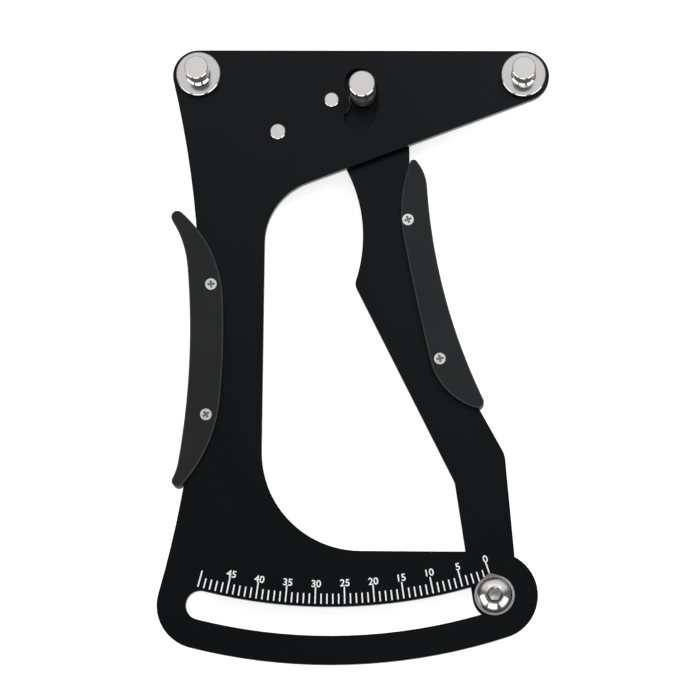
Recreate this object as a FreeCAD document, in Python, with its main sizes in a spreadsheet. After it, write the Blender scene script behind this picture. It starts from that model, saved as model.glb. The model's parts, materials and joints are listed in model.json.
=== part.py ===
"""Spoke tension meter: a C-shaped body plate with two fixed posts and a scale, and a sprung lever behind it
that carries the middle post and the pointer.

Frame: millimetres, +Z out of the front face, +Y towards the posts, +X towards the open side of the body.
Every outline is drawn about the lever's pivot, and each piece is placed at the pivot's place in the frame.
"""
import FreeCAD, Part
import math
import os
import Sketcher

# the sketcher's own numbers for its axes and for the points of a line or an arc
Y_AXIS, X_AXIS = range(-2, 0)
START, END, CENTRE = range(1, 4)
ORIGIN_POINT = (X_AXIS, START)

DIMENSIONS = {
    # frame
    "pivot_x": -9.12, "pivot_y": 90.6, "front_z": 15.0,
    # plates
    "plate_thick": 3.0, "plate_gap": 1.0, "run_clear": 0.05,
    # body plate outline
    "top_y": 17.9, "end_round": 9.07, "right_end_x": 67.68, "arm_angle": 20.9,
    "column_x": -22.95, "window_top_round": 22.9, "window_low_round": 34.65, "scale_land": 24.4,
    "side_from_post": 358.28, "side_y": -80.6, "side_round": 360.1, "scale_arm_round": 15.0,
    # reading arc
    "pointer_radius": 184.1, "pointer_angle": 18.4, "slot_half": 5.0, "slot_right_angle": 18.45,
    "slot_left_angle": 13.65,
    # middle post and its slot
    "post_swing_radius": 11.45, "post_rest_angle": 15.9, "kidney_half": 5.2, "kidney_angle": 33.0,
    # lever plate outline
    "lobe_round": 11.1, "head_round": 13.0, "head_y": 1.2, "lever_edge_x": 27.48, "lever_back_round": 193.0,
    "lever_back_y": -14.18, "lever_back_angle": 29.3, "elbow_round": 8.2, "shin_angle": 5.6, "foot_round": 7.9,
    "foot_out": 0.35, "ankle_angle": 9.05, "knee_round": 4.0, "knee_rise": 38.15, "thigh_angle": 27.0,
    "hip_round": 3.5, "scallop_round": 52.7, "scallop_y": -48.64,
    # fixed posts
    "post_spacing": 114.9, "flange_round": 7.82, "flange_thick": 2.5,
    "foot_cone_round": 4.4, "foot_cone_rise": 0.85, "neck_round": 3.5, "neck_top": 5.0, "neck_flare": 0.4,
    "cap_round": 4.1, "post_height": 12.0, "cap_bevel": 0.22, "post_tail_round": 2.5, "post_rivet_round": 3.5,
    "rivet_thick": 1.0, "flange_bevel": 0.25,
    # middle post
    "middle_round": 4.6, "middle_base_top": 3.2, "middle_base_bevel": 0.08, "middle_neck_round": 3.7,
    "middle_flare": 0.5, "middle_bevel": 0.33, "middle_tail_round": 2.5, "middle_tail_length": 3.4,
    "groove_depth": 0.2, "low_groove": 1.4, "high_groove": 10.0,
    # pivot
    "pivot_pin_round": 2.55, "pin_head_rise": 0.8, "pin_bevel": 0.25, "pivot_rivet_round": 4.2,
    "pivot_rivet_thick": 1.05, "washer_post_clear": 0.45, "spool_round": 5.1, "spool_flange_round": 8.3,
    "spool_flange_thick": 0.9,
    # return spring
    "wire_round": 0.75, "coil_round": 6.5, "coil_pitch": 1.6, "coil_turns": 2.0, "spring_gap": 0.6,
    "leg_overhang": 4.0, "leg_touch": 0.03,
    # spring anchor
    "anchor_x": -18.88, "anchor_y": -11.56, "anchor_head_round": 2.73, "anchor_round": 2.3, "anchor_lift": 0.8,
    # pointer and its screw
    "pointer_thick": 0.9, "pointer_washer_round": 6.9, "pointer_tip": 7.85, "pointer_tip_half": 0.22,
    "pointer_turn": 5.0, "pointer_float": 0.1, "sleeve_round": 4.9, "screw_round": 2.95,
    "screw_hole_round": 3.0, "screw_head_round": 6.2, "screw_head_rise": 4.2, "screw_head_rim": 0.35,
    "dome_round": 7.25, "knuckle_round": 3.4,
    "socket_width": 4.0, "socket_mouth_round": 2.45, "socket_lead": 0.45, "socket_depth": 2.0, "drill_point": 0.9,
    "slide_washer_round": 6.3,
    "nut_washer_round": 6.0, "nut_washer_thick": 1.0, "nut_width": 10.0, "nut_thick": 5.0, "screw_past_nut": 0.6,
    # grips
    "grip_thick": 2.5, "grip_bevel": 0.4, "lip_clear": 0.15, "left_top_tip_round": 2.15,
    "left_low_tip_round": 2.0, "right_top_tip_round": 1.3, "right_low_tip_round": 2.15, "left_lip_high": -30.0,
    "left_lip_low": -150.0, "left_lip_far": -25.0, "right_lip_high": -15.0, "right_lip_low": -116.0,
    "right_lip_far": 15.0,
    "left_inner_reach": 8.54, "left_inner_y": -85.83, "left_inner_round": 262.3, "left_inner_up_angle": 3.06,
    "left_inner_low_angle": -4.81, "left_inner_up_round": 43.8, "left_inner_low_round": 51.0,
    "left_outer_reach": -3.1, "left_outer_y": -87.0, "left_outer_round": 269.56, "left_outer_up_angle": 5.67,
    "left_outer_up_round": 37.9, "left_outer_low_angle": -9.1, "left_outer_low_round": 18.0,
    "right_inner_reach": 20.73, "right_inner_y": 145.87, "right_inner_round": 1003.0,
    "right_inner_up_angle": -11.2, "right_inner_low_angle": -13.75, "right_inner_up_round": 50.7,
    "right_inner_low_round": 23.1,
    "right_outer_reach": -5.93, "right_outer_y": -16.05, "right_outer_round": 207.68,
    "right_outer_up_angle": -4.08, "right_outer_up_round": -16.14,
    "left_screw_top_reach": 3.98, "left_screw_top_y": -66.74, "left_screw_low_reach": 3.0,
    "left_screw_low_y": -112.76, "right_screw_top_reach": 0.22, "right_screw_top_y": -42.66,
    "right_screw_low_reach": -11.3, "right_screw_low_y": -92.06,
    # grip screws and nuts
    "grip_hole_round": 1.15, "grip_screw_round": 1.0, "grip_head_round": 2.02, "grip_head_depth": 0.9,
    "cross_width": 0.8, "cross_length": 2.5, "cross_depth": 0.7, "grip_nut_width": 4.0, "grip_nut_thick": 1.6,
    "grip_fit_clear": 0.05, "left_cross_top_angle": 8.0, "left_cross_low_angle": 35.0, "right_cross_top_angle": 20.0,
    "right_cross_low_angle": 12.0,
}


class Size:
    """A driving size: its number for drawing, and its spreadsheet formula for the binding."""

    def __init__(self, number, formula):
        self.number = float(number)
        self.formula = formula

    @staticmethod
    def of(other):
        return other if isinstance(other, Size) else Size(other, repr(float(other)))

    def _join(self, other, sign, number):
        return Size(number, "(%s %s %s)" % (self.formula, sign, Size.of(other).formula))

    def __float__(self):
        return self.number

    def __neg__(self):
        return Size(-self.number, "(0 - %s)" % self.formula)

    def __add__(self, other):
        return self._join(other, "+", self.number + float(other))

    def __sub__(self, other):
        return self._join(other, "-", self.number - float(other))

    def __mul__(self, other):
        return self._join(other, "*", self.number * float(other))

    def __truediv__(self, other):
        return self._join(other, "/", self.number / float(other))


def cosine(angle):
    return Size(math.cos(math.radians(angle.number)), "cos(%s * 1 deg)" % angle.formula)


def sine(angle):
    return Size(math.sin(math.radians(angle.number)), "sin(%s * 1 deg)" % angle.formula)


TWO = Size.of(2)
RIGHT_ANGLE = Size.of(90)
HEXAGON_SIDES = 6
SIXTH = Size.of(360 / HEXAGON_SIDES)


def vector(x, y):
    """A point of a sketch, from numbers or sizes."""
    return FreeCAD.Vector(float(x), float(y), 0)


def heading(degrees):
    """Unit vector at an angle from +X."""
    return vector(math.cos(math.radians(float(degrees))), math.sin(math.radians(float(degrees))))


def towards(start, target, distance):
    """Point at a distance from start in the direction of target."""
    return start + (target - start).normalize() * float(distance)


def on_circles(first, first_radius, second, second_radius, side):
    """Where two circles meet, left (side 1) or right (side -1) of the way from first to second."""
    gap = (second - first).Length
    along = (first_radius ** 2 - second_radius ** 2 + gap ** 2) / (2 * gap)
    across = math.sqrt(first_radius ** 2 - along ** 2)
    unit = (second - first) / gap
    return first + unit * along + vector(-unit.y, unit.x) * across * side


# ---------------------------------------------------------------- document and its spreadsheet
doc = FreeCAD.newDocument("SpokeTensionMeter")
sheet = doc.addObject("Spreadsheet::Sheet", "Dimensions")
for row, (alias, number) in enumerate(DIMENSIONS.items(), start=1):
    sheet.set("A%d" % row, alias)
    sheet.set("B%d" % row, repr(number))
    sheet.setAlias("B%d" % row, alias)
doc.recompute()
D = {alias: Size(sheet.get(alias), "Dimensions." + alias) for alias in DIMENSIONS}
nodes = []


# ---------------------------------------------------------------- ways of making a piece
def new_body(label, x=None, y=None, node=True):
    """An empty body at the pivot, or at an offset from it; a node is written to its own file."""
    body = doc.addObject("PartDesign::Body", label)
    place_x = D["pivot_x"] if x is None else D["pivot_x"] + x
    place_y = D["pivot_y"] if y is None else D["pivot_y"] + y
    body.setExpression("Placement.Base.x", place_x.formula)
    body.setExpression("Placement.Base.y", place_y.formula)
    if node:
        nodes.append(body)
    return body


def new_sketch(body, name, plane="XY_Plane", z=None):
    """A sketch on one of the body's own origin planes, lifted to z."""
    sketch = body.newObject("Sketcher::SketchObject", name)
    support = [feature for feature in body.Origin.OriginFeatures if feature.Role == plane][0]
    sketch.AttachmentSupport = [(support, "")]
    sketch.MapMode = "FlatFace"
    if z is not None:
        sketch.setExpression("AttachmentOffset.Base.z", z.formula)
    return sketch


def constrain(sketch, kind, *where, size):
    """A dimensional constraint bound to a size."""
    index = sketch.addConstraint(Sketcher.Constraint(kind, *where, float(size)))
    sketch.setExpression("Constraints[%d]" % index, size.formula)


def place_point(sketch, geometry, point, x, y):
    """Hold a point of the sketch at x, y; None means on the axis."""
    if x is None:
        sketch.addConstraint(Sketcher.Constraint("PointOnObject", geometry, point, Y_AXIS))
    else:
        constrain(sketch, "DistanceX", *ORIGIN_POINT, geometry, point, size=x)
    if y is None:
        sketch.addConstraint(Sketcher.Constraint("PointOnObject", geometry, point, X_AXIS))
    else:
        constrain(sketch, "DistanceY", *ORIGIN_POINT, geometry, point, size=y)


def add_circle(sketch, x, y, radius):
    centre = vector(0 if x is None else x, 0 if y is None else y)
    index = sketch.addGeometry(Part.Circle(centre, FreeCAD.Vector(0, 0, 1), float(radius)), False)
    constrain(sketch, "Radius", index, size=radius)
    place_point(sketch, index, CENTRE, x, y)
    return index


def add_polygon(sketch, points):
    """A closed polygon whose every corner is held at its own x and y sizes."""
    corners = [vector(0 if x is None else x, 0 if y is None else y) for x, y in points]
    first = None
    for number, corner in enumerate(corners):
        following = corners[(number + 1) % len(corners)]
        index = sketch.addGeometry(Part.LineSegment(corner, following), False)
        first = index if first is None else first
        if number:
            sketch.addConstraint(Sketcher.Constraint("Coincident", index - 1, END, index, START))
        place_point(sketch, index, START, *points[number])
    sketch.addConstraint(Sketcher.Constraint("Coincident", index, END, first, START))
    return first


def add_line(sketch, start, end):
    """A line walked from start to end, given as add_arc gives an arc."""
    return sketch.addGeometry(Part.LineSegment(start, end), False), START, END


def add_arc(sketch, centre, start, end, clockwise):
    """An arc walked from start to end; gives its number and which of its ends is entered and left."""
    first, last = (end, start) if clockwise else (start, end)
    angles = [math.atan2(point.y - centre.y, point.x - centre.x) for point in (first, last)]
    circle = Part.Circle(centre, FreeCAD.Vector(0, 0, 1), (start - centre).Length)
    index = sketch.addGeometry(Part.ArcOfCircle(circle, angles[0], angles[1]), False)
    return (index, END, START) if clockwise else (index, START, END)


def join_tangent(sketch, chain):
    """Join each link of a closed chain to the next, tangent at the shared point."""
    for number, (index, _, leave) in enumerate(chain):
        following, enter, _ = chain[(number + 1) % len(chain)]
        sketch.addConstraint(Sketcher.Constraint("Tangent", index, leave, following, enter))


def add_arc_slot(sketch, radius, half, first_angle, last_angle, held):
    """A slot of constant width about the pivot; its ends lie at two angles from +X, held by their X or Y."""
    outer, inner = radius + half, radius - half
    pivot = vector(0, 0)
    ends = [heading(first_angle), heading(last_angle)]
    chain = [add_arc(sketch, pivot, ends[0] * float(outer), ends[1] * float(outer), False),
             add_arc(sketch, ends[1] * float(radius), ends[1] * float(outer), ends[1] * float(inner), False),
             add_arc(sketch, pivot, ends[1] * float(inner), ends[0] * float(inner), True),
             add_arc(sketch, ends[0] * float(radius), ends[0] * float(inner), ends[0] * float(outer), False)]
    join_tangent(sketch, chain)
    for link, size in ((chain[0], outer), (chain[2], inner)):
        sketch.addConstraint(Sketcher.Constraint("Coincident", link[0], CENTRE, *ORIGIN_POINT))
        constrain(sketch, "Radius", link[0], size=size)
    axis = cosine if held == "X" else sine
    for link, angle in ((chain[1], last_angle), (chain[3], first_angle)):
        constrain(sketch, "Distance" + held, *ORIGIN_POINT, link[0], CENTRE, size=radius * axis(angle))


def pad(body, sketch, length):
    feature = body.newObject("PartDesign::Pad", "Pad")
    feature.Profile = sketch
    feature.setExpression("Length", length.formula)
    return feature


def pocket(body, sketch, depth=None):
    """Cut downwards from the sketch, to a depth or right through."""
    doc.recompute()
    before = body.Shape.Volume
    feature = body.newObject("PartDesign::Pocket", "Pocket")
    feature.Profile = sketch
    if depth is None:
        feature.Type = "ThroughAll"
    else:
        feature.setExpression("Length", depth.formula)
    doc.recompute()
    if body.Shape.Volume >= before:
        raise ValueError("%s: %s cuts nothing" % (body.Label, sketch.Name))
    return feature


def plate(label, draw, z, thick):
    """A flat piece: an outline lying at height z, padded upwards."""
    body = new_body(label)
    outline = new_sketch(body, "Outline", z=z)
    draw(outline)
    pad(body, outline, thick)
    return body


def drill(body, z, circles, depth=None):
    """Round holes cut down from height z."""
    holes = new_sketch(body, "Holes", z=z)
    for x, y, radius in circles:
        add_circle(holes, x, y, radius)
    return pocket(body, holes, depth)


def cut_cone(body, low_round, high_round, low, height, x=None, y=None):
    """Cut a cone that rises from height low, by its radius at each end."""
    cone = body.newObject("PartDesign::SubtractiveCone", "Cone")
    plane = [feature for feature in body.Origin.OriginFeatures if feature.Role == "XY_Plane"][0]
    cone.AttachmentSupport = [(plane, "")]
    cone.MapMode = "FlatFace"
    for name, size in (("AttachmentOffset.Base.x", x), ("AttachmentOffset.Base.y", y),
                       ("AttachmentOffset.Base.z", low), ("Radius1", low_round), ("Radius2", high_round),
                       ("Height", height)):
        if size is not None:
            cone.setExpression(name, size.formula)


def bevel(body, z, size):
    """Chamfer every edge of the body's flat face at height z."""
    doc.recompute()
    base = body.Tip
    faces = ["Face%d" % number for number, face in enumerate(base.Shape.Faces, start=1)
             if face.BoundBox.ZLength < 1e-6 and abs(face.BoundBox.ZMin - z.number) < 1e-6]
    feature = body.newObject("PartDesign::Chamfer", "Chamfer")
    feature.Base = (base, faces)
    feature.setExpression("Size", size.formula)
    return feature


def revolve(body, sketch):
    feature = body.newObject("PartDesign::Revolution", "Revolution")
    feature.Profile = sketch
    feature.ReferenceAxis = (sketch, ["V_Axis"])
    feature.Angle = 360
    return feature


def turned(label, profile, x=None, y=None, node=True):
    """A piece turned about its own upright axis from a half profile of (radius, height) corners."""
    body = new_body(label, x, y, node)
    half = new_sketch(body, "Profile", plane="XZ_Plane")
    add_polygon(half, profile)
    revolve(body, half)
    return body


def ring(inner, outer, low, high):
    """Half profile of a plain ring."""
    return [(inner, low), (outer, low), (outer, high), (inner, high)]


def group(label, members):
    """Identical fasteners kept together as one sub-part of separate solids."""
    compound = doc.addObject("Part::Compound", label)
    compound.Links = members
    nodes.append(compound)
    return compound


# ---------------------------------------------------------------- levels, from the front face back
front = D["front_z"]
body_back = front - D["plate_thick"]
lever_front = body_back - D["plate_gap"]
lever_back = lever_front - D["plate_thick"]
spool_back = Size.of(0) + D["pivot_rivet_thick"]
pointer_back = front + D["pointer_float"]
pointer_front = pointer_back + D["pointer_thick"]
nut_front = lever_back - D["nut_washer_thick"]
nut_back = nut_front - D["nut_thick"]

post_x = D["post_swing_radius"] * cosine(D["post_rest_angle"])
post_y = D["post_swing_radius"] * sine(D["post_rest_angle"])
pointer_x = D["pointer_radius"] * sine(D["pointer_angle"])
pointer_y = -(D["pointer_radius"] * cosine(D["pointer_angle"]))
foot_x = pointer_x + D["foot_out"]
scale_round = D["pointer_radius"] + D["scale_arm_round"]
scale_edge_y = D["scale_land"] - D["pointer_radius"]
knee_y = pointer_y + D["knee_rise"]
right_post_x = D["right_end_x"]
left_post_x = right_post_x - D["post_spacing"]
fixed_post_y = D["top_y"] - D["end_round"]
side_x = left_post_x - D["side_from_post"]
left_edge_x = side_x + D["side_round"]
plate_edge = {"left": left_edge_x, "right": -D["lever_edge_x"]}
mirror = {"left": 1, "right": -1}


# ---------------------------------------------------------------- outlines
def hold_direction(sketch, line, point, angle):
    """Hold the angle of a line, walked from one of its ends, from the X axis."""
    index = sketch.addConstraint(Sketcher.Constraint("Angle", X_AXIS, START, line, point, math.radians(float(angle))))
    sketch.setExpression("Constraints[%d]" % index, "%s * 1 deg" % angle.formula)


def body_outline(sketch):
    """Top arm, column and scale arm: straight edges and arcs, each tangent to the next."""
    end, top, low = (float(D[name]) for name in ("end_round", "window_top_round", "window_low_round"))
    arm, side, rim = float(D["scale_arm_round"]), float(D["side_round"]), float(scale_round)
    column, edge, roof = float(D["column_x"]), float(scale_edge_y), float(D["top_y"])
    pivot = vector(0, 0)
    flank = vector(side_x, D["side_y"])
    right_end = vector(D["right_end_x"], roof - end)
    left_end = vector(flank.x + math.sqrt((side + end) ** 2 - (roof - end - flank.y) ** 2), roof - end)
    slope_out = heading(D["arm_angle"].number - 90)
    arm_corner = right_end + slope_out * end
    top_x = column + top
    top_round = vector(top_x, (top + arm_corner.dot(slope_out) - top_x * slope_out.x) / slope_out.y)
    low_round = vector(column + low, edge + low)
    toe = vector(math.sqrt((rim - arm) ** 2 - (edge - arm) ** 2), edge - arm)
    heel = on_circles(flank, side + arm, pivot, rim - arm, -1)
    toe_top, heel_side = vector(toe.x, edge), towards(heel, flank, arm)
    end_side = towards(left_end, flank, end)
    chain = [
        add_line(sketch, vector(left_end.x, roof), vector(right_end.x, roof)),
        add_arc(sketch, right_end, vector(right_end.x, roof), arm_corner, True),
        add_line(sketch, arm_corner, top_round - slope_out * top),
        add_arc(sketch, top_round, top_round - slope_out * top, vector(column, top_round.y), False),
        add_line(sketch, vector(column, top_round.y), vector(column, low_round.y)),
        add_arc(sketch, low_round, vector(column, low_round.y), vector(low_round.x, edge), False),
        add_line(sketch, vector(low_round.x, edge), toe_top),
        add_arc(sketch, toe, toe_top, towards(pivot, toe, rim), True),
        add_arc(sketch, pivot, towards(pivot, toe, rim), towards(pivot, heel, rim), True),
        add_arc(sketch, heel, towards(pivot, heel, rim), heel_side, True),
        add_arc(sketch, flank, heel_side, end_side, False),
        add_arc(sketch, left_end, end_side, vector(left_end.x, roof), True),
    ]
    join_tangent(sketch, chain)
    roof_line, right, slope, top_arc, column_line, low_arc, edge_line, toe_arc, rim_arc, heel_arc, side_arc, left = \
        [link[0] for link in chain]
    sketch.addConstraint(Sketcher.Constraint("Horizontal", roof_line))
    sketch.addConstraint(Sketcher.Constraint("Vertical", column_line))
    sketch.addConstraint(Sketcher.Constraint("Horizontal", edge_line))
    sketch.addConstraint(Sketcher.Constraint("Coincident", rim_arc, CENTRE, *ORIGIN_POINT))
    for index, size in ((right, D["end_round"]), (left, D["end_round"]), (top_arc, D["window_top_round"]),
                        (low_arc, D["window_low_round"]), (toe_arc, D["scale_arm_round"]),
                        (rim_arc, scale_round), (heel_arc, D["scale_arm_round"]), (side_arc, D["side_round"])):
        constrain(sketch, "Radius", index, size=size)
    constrain(sketch, "DistanceY", *ORIGIN_POINT, roof_line, START, size=D["top_y"])
    constrain(sketch, "DistanceX", *ORIGIN_POINT, right, CENTRE, size=D["right_end_x"])
    place_point(sketch, side_arc, CENTRE, side_x, D["side_y"])
    constrain(sketch, "DistanceX", *ORIGIN_POINT, column_line, START, size=D["column_x"])
    constrain(sketch, "DistanceY", *ORIGIN_POINT, edge_line, START, size=scale_edge_y)
    hold_direction(sketch, slope, END, D["arm_angle"])


def lever_outline(sketch):
    """Pivot lobe, head for the middle post, long leg and a foot round the pointer screw."""
    lobe, head, back = (float(D[name]) for name in ("lobe_round", "head_round", "lever_back_round"))
    elbow, foot, knee, hip = (float(D[name]) for name in ("elbow_round", "foot_round", "knee_round", "hip_round"))
    hollow, edge = float(D["scallop_round"]), float(D["lever_edge_x"])
    pivot, sole = vector(0, 0), vector(foot_x, pointer_y)
    back_out, shin_out = heading(D["lever_back_angle"]), heading(D["shin_angle"])
    ankle_out = heading(180 + D["ankle_angle"].number)
    thigh_out = heading(180 + D["thigh_angle"].number)
    thigh_up = vector(thigh_out.y, -thigh_out.x)
    head_centre = vector(edge - head, D["head_y"])
    hollow_y = float(D["scallop_y"])
    back_centre = vector(edge + back, D["lever_back_y"])
    back_reach = back_out.dot(back_centre) - back - elbow
    shin_reach = shin_out.dot(sole) + foot - elbow
    spread = back_out.x * shin_out.y - back_out.y * shin_out.x
    elbow_centre = vector((back_reach * shin_out.y - shin_reach * back_out.y) / spread,
                          (back_out.x * shin_reach - shin_out.x * back_reach) / spread)
    knee_centre = vector((ankle_out.dot(sole) + foot + knee - ankle_out.y * float(knee_y)) / ankle_out.x, knee_y)
    hollow_centre = vector(-math.sqrt((hollow + lobe) ** 2 - hollow_y ** 2), hollow_y)
    offset = knee_centre - thigh_out * (knee + hip) - hollow_centre
    along = offset.dot(thigh_up)
    climb = -along - math.sqrt(along ** 2 - offset.Length ** 2 + (hollow + hip) ** 2)
    hip_centre = hollow_centre + offset + thigh_up * climb
    crown = math.degrees(math.atan2(head_centre.y, head_centre.x))
    crown += math.degrees(math.acos((lobe - head) / head_centre.Length))
    crown_out = heading(crown)
    hip_hollow = towards(hollow_centre, hip_centre, hollow)
    hollow_lobe = towards(pivot, hollow_centre, lobe)
    chain = [
        add_arc(sketch, pivot, hollow_lobe, crown_out * lobe, True),
        add_line(sketch, crown_out * lobe, head_centre + crown_out * head),
        add_arc(sketch, head_centre, head_centre + crown_out * head, vector(edge, head_centre.y), True),
        add_line(sketch, vector(edge, head_centre.y), vector(edge, back_centre.y)),
        add_arc(sketch, back_centre, vector(edge, back_centre.y), back_centre - back_out * back, False),
        add_line(sketch, back_centre - back_out * back, elbow_centre + back_out * elbow),
        add_arc(sketch, elbow_centre, elbow_centre + back_out * elbow, elbow_centre + shin_out * elbow, True),
        add_line(sketch, elbow_centre + shin_out * elbow, sole + shin_out * foot),
        add_arc(sketch, sole, sole + shin_out * foot, sole + ankle_out * foot, True),
        add_line(sketch, sole + ankle_out * foot, knee_centre - ankle_out * knee),
        add_arc(sketch, knee_centre, knee_centre - ankle_out * knee, knee_centre - thigh_out * knee, False),
        add_line(sketch, knee_centre - thigh_out * knee, hip_centre + thigh_out * hip),
        add_arc(sketch, hip_centre, hip_centre + thigh_out * hip, hip_hollow, True),
        add_arc(sketch, hollow_centre, hip_hollow, hollow_lobe, False),
    ]
    join_tangent(sketch, chain)
    lobe_arc, _, head_arc, edge_line, back_arc, back_line, elbow_arc, shin_line, foot_arc, ankle_line, knee_arc, \
        thigh_line, hip_arc, hollow_arc = [link[0] for link in chain]
    sketch.addConstraint(Sketcher.Constraint("Coincident", lobe_arc, CENTRE, *ORIGIN_POINT))
    sketch.addConstraint(Sketcher.Constraint("Vertical", edge_line))
    for index, name in ((lobe_arc, "lobe_round"), (head_arc, "head_round"), (back_arc, "lever_back_round"),
                        (elbow_arc, "elbow_round"), (foot_arc, "foot_round"), (knee_arc, "knee_round"),
                        (hip_arc, "hip_round"), (hollow_arc, "scallop_round")):
        constrain(sketch, "Radius", index, size=D[name])
    place_point(sketch, foot_arc, CENTRE, foot_x, pointer_y)
    constrain(sketch, "DistanceX", *ORIGIN_POINT, edge_line, START, size=D["lever_edge_x"])
    for index, height in ((head_arc, D["head_y"]), (back_arc, D["lever_back_y"]), (knee_arc, knee_y),
                          (hollow_arc, D["scallop_y"])):
        constrain(sketch, "DistanceY", *ORIGIN_POINT, index, CENTRE, size=height)
    hold_direction(sketch, back_line, START, D["lever_back_angle"] - RIGHT_ANGLE)
    hold_direction(sketch, shin_line, START, D["shin_angle"] - RIGHT_ANGLE)
    hold_direction(sketch, ankle_line, END, D["ankle_angle"] - RIGHT_ANGLE)
    hold_direction(sketch, thigh_line, END, D["thigh_angle"] - RIGHT_ANGLE)


def crescent_outline(side):
    """A grip's outline for one side: two edges of tangent arcs that meet in rounded tips.

    The top of the outer edge flares out (positive radius) or is rounded in (negative radius), and the left
    grip's outer edge flares out at the bottom too.
    """
    turn = mirror[side]
    outer_ends = ("up", "low") if side == "left" else ("up",)

    def edge(name):
        return D["%s_%s" % (side, name)]

    def arc_centre(which, end=None):
        """Centre of an edge's main arc, or of its tighter end arc."""
        x, y = plate_edge[side] + edge(which + "_reach") - edge(which + "_round"), edge(which + "_y")
        if end is None:
            return x, y
        step = edge(which + "_round") - edge("%s_%s_round" % (which, end))
        angle = edge("%s_%s_angle" % (which, end))
        return x + step * cosine(angle), y + step * sine(angle)

    def arc_end(which, end):
        """Where an edge's main arc meets its end arc."""
        return vector(*arc_centre(which)) + heading(edge("%s_%s_angle" % (which, end))) * float(edge(which + "_round"))

    def mirrored(point):
        return vector(point.x * turn, point.y)

    def draw(sketch):
        top_tip, low_tip = edge("top_tip_round"), edge("low_tip_round")
        shoulder = edge("outer_up_round")
        hollow = float(shoulder) > 0
        flare = "low" if "low" in outer_ends else None
        inner_up, inner_low = vector(*arc_centre("inner", "up")), vector(*arc_centre("inner", "low"))
        outer_up, outer_low = vector(*arc_centre("outer", "up")), vector(*arc_centre("outer", flare))
        low_round = edge("outer_low_round" if flare else "outer_round")
        top = on_circles(inner_up, float(edge("inner_up_round") - top_tip), outer_up,
                         abs(float(shoulder + top_tip)), -1 if hollow else 1)
        bottom = on_circles(inner_low, float(edge("inner_low_round") - low_tip), outer_low,
                            float(low_round + low_tip), 1)
        links = [(inner_up, True, edge("inner_up_round"), towards(inner_up, top, edge("inner_up_round"))),
                 (vector(*arc_centre("inner")), True, edge("inner_round"), arc_end("inner", "up")),
                 (inner_low, True, edge("inner_low_round"), arc_end("inner", "low")),
                 (bottom, True, low_tip, towards(inner_low, bottom, edge("inner_low_round"))),
                 (outer_low, False, low_round, towards(outer_low, bottom, low_round))]
        if flare:
            links.append((vector(*arc_centre("outer")), False, edge("outer_round"), arc_end("outer", "low")))
        links.append((outer_up, not hollow, shoulder if hollow else -shoulder, arc_end("outer", "up")))
        links.append((top, True, top_tip, towards(outer_up, top, abs(float(shoulder)))))
        chain = []
        for number, (centre, clockwise, _, start) in enumerate(links):
            following = links[(number + 1) % len(links)][3]
            chain.append(add_arc(sketch, mirrored(centre), mirrored(start), mirrored(following),
                                 clockwise == (turn > 0)))
        join_tangent(sketch, chain)
        for link, (_, _, size, _) in zip(chain, links):
            constrain(sketch, "Radius", link[0], size=size)
        inner_up_arc, inner_arc, inner_low_arc, _, *outer_low_arcs, outer_arc, outer_up_arc, _ = \
            [link[0] for link in chain]
        for arc, which in ((inner_arc, "inner"), (outer_arc, "outer")):
            x, y = arc_centre(which)
            place_point(sketch, arc, CENTRE, x * turn, y)
        ends = [(inner_up_arc, "inner", "up"), (inner_low_arc, "inner", "low"), (outer_up_arc, "outer", "up")]
        for arc, which, end in ends + [(arc, "outer", "low") for arc in outer_low_arcs]:
            constrain(sketch, "DistanceY", *ORIGIN_POINT, arc, CENTRE, size=arc_centre(which, end)[1])

    return draw


def hexagon(sketch, width, x=None, y=None):
    """A hexagon by its width across flats."""
    corner = width / math.sqrt(3)
    points = []
    for number in range(HEXAGON_SIDES):
        angle = SIXTH * Size.of(number)
        px, py = corner * cosine(angle), corner * sine(angle)
        points.append((px if x is None else px + x, py if y is None else py + y))
    return add_polygon(sketch, points)


# ---------------------------------------------------------------- plates
post_places = [(left_post_x, fixed_post_y), (right_post_x, fixed_post_y)]
screw_places = {side: [((plate_edge[side] + D["%s_screw_%s_reach" % (side, end)]) * mirror[side],
                        D["%s_screw_%s_y" % (side, end)]) for end in ("top", "low")]
                for side in ("left", "right")}

body_plate = plate("body_plate", body_outline, body_back, D["plate_thick"])
drill(body_plate, front, [(x, y, D["post_tail_round"]) for x, y in post_places])
drill(body_plate, front, [(None, None, D["pivot_pin_round"]), (D["anchor_x"], D["anchor_y"], D["anchor_round"])])
drill(body_plate, front, [(x, y, D["grip_hole_round"]) for x, y in screw_places["left"]])
pointer_slot = new_sketch(body_plate, "PointerSlot", z=front)
add_arc_slot(pointer_slot, D["pointer_radius"], D["slot_half"], -(D["slot_left_angle"] + RIGHT_ANGLE),
             D["slot_right_angle"] - RIGHT_ANGLE, "X")
pocket(body_plate, pointer_slot)
post_slot = new_sketch(body_plate, "PostSlot", z=front)
add_arc_slot(post_slot, D["post_swing_radius"], D["kidney_half"], -D["kidney_angle"], D["kidney_angle"], "Y")
pocket(body_plate, post_slot)

lever_plate = plate("lever_plate", lever_outline, lever_back, D["plate_thick"])
drill(lever_plate, lever_front, [(None, None, D["pivot_pin_round"] + D["run_clear"]),
                                 (post_x, post_y, D["middle_tail_round"]),
                                 (pointer_x, pointer_y, D["screw_hole_round"])])
drill(lever_plate, lever_front, [(x, y, D["grip_hole_round"]) for x, y in screw_places["right"]])

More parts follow.
